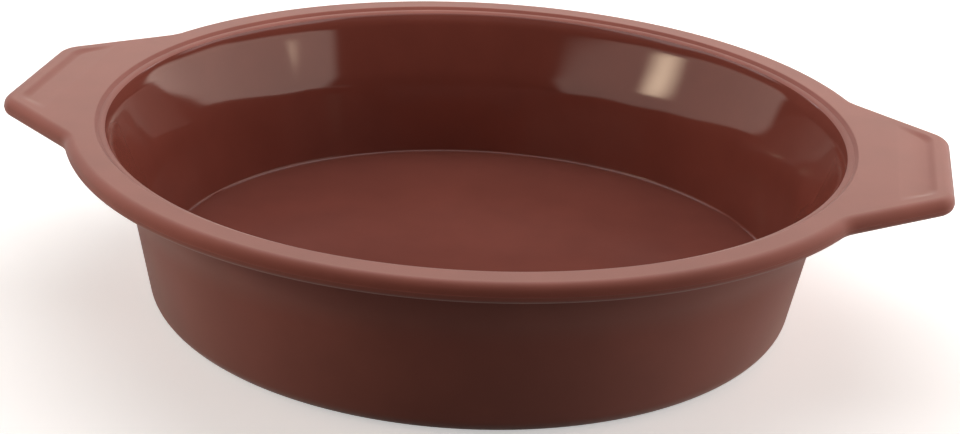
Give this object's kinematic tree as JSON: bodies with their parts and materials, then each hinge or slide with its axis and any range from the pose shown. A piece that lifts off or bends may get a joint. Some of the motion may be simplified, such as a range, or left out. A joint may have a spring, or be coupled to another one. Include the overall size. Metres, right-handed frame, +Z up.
{
  "type": "silicone cake pan",
  "caption": "Round silicone cake pan with a flared wall, rounded heel, thick flat rim and flexible tab handles; the floor pushes up to release the cake.",
  "frame": {"origin": "on the table under the middle of the pan", "axes": "+X through the right handle, +Z up out of the mouth"},
  "size_m": [0.3072, 0.2672, 0.0604],
  "materials": {
    "silicone": "moulded silicone, glossy inside the bowl, fine matte on the outside, rim and handles"
  },
  "bodies": {
    "pan": {"rim_flange": "silicone", "inner_lip": "silicone", "side_wall": "silicone", "heel_ring": "silicone"},
    "floor": {"floor_panel": "silicone"},
    "left_tab": {"left_handle": "silicone"},
    "right_tab": {"right_handle": "silicone"}
  },
  "joints": [
    {"name": "left_handle_flex", "type": "hinge", "parent": "pan", "child": "left_tab", "pos_m": [-0.1369, 0, 0.0575], "axis": [0, 1, 0], "range_deg": [-45, 45], "stiffness_Nm_per_rad": 0.35},
    {"name": "right_handle_flex", "type": "hinge", "parent": "pan", "child": "right_tab", "pos_m": [0.1369, 0, 0.0575], "axis": [0, -1, 0], "range_deg": [-45, 45], "stiffness_Nm_per_rad": 0.35},
    {"name": "floor_push", "type": "slide", "parent": "pan", "child": "floor", "axis": [0, 0, 1], "range_m": [0, 0.015], "stiffness_N_per_m": 200}
  ]
}
